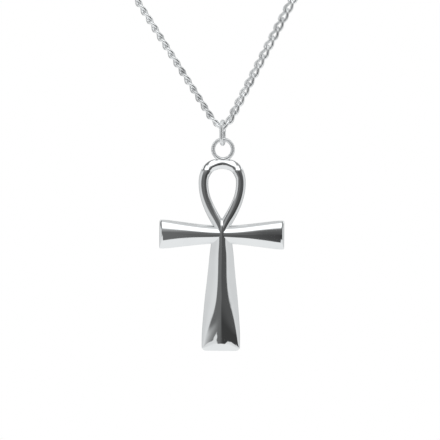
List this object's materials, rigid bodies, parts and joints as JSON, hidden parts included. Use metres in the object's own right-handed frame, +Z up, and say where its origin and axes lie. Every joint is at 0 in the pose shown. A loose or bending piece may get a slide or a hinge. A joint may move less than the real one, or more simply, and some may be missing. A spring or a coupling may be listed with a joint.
{
  "type": "ankh pendant necklace",
  "caption": "Polished silver-coloured ankh pendant with a soldered top ring, hanging by an oval link from a twisted curb chain closed by a barrel clasp.",
  "frame": {"origin": "middle of the clasp, at the nape, where the necklace is held up", "axes": "+Z up, -Y the way the ankh's ridged front faces, +X to the right seen from the front"},
  "size_m": [0.129, 0.1066, 0.2213],
  "materials": {
    "polished_cast": "mirror polished, with fine handling scratches",
    "bright_wire": "polished wire",
    "chain_metal": "polished, a little darker between the links",
    "clasp_metal": "polished, lightly worn"
  },
  "bodies": {
    "necklace": {"chain": "chain_metal", "clasp": "clasp_metal"},
    "link": {"connector_link": "bright_wire"},
    "pendant": {"ankh": "polished_cast"}
  },
  "joints": [
    {"name": "link_swing", "type": "hinge", "parent": "necklace", "child": "link", "pos_m": [0, -0.103, -0.166], "axis": [0.9781, -0.2079, 0], "range_deg": [-75, 75]},
    {"name": "pendant_sway", "type": "hinge", "parent": "link", "child": "pendant", "pos_m": [0, -0.103, -0.16995], "axis": [0, 1, 0], "range_deg": [-75, 75]}
  ]
}
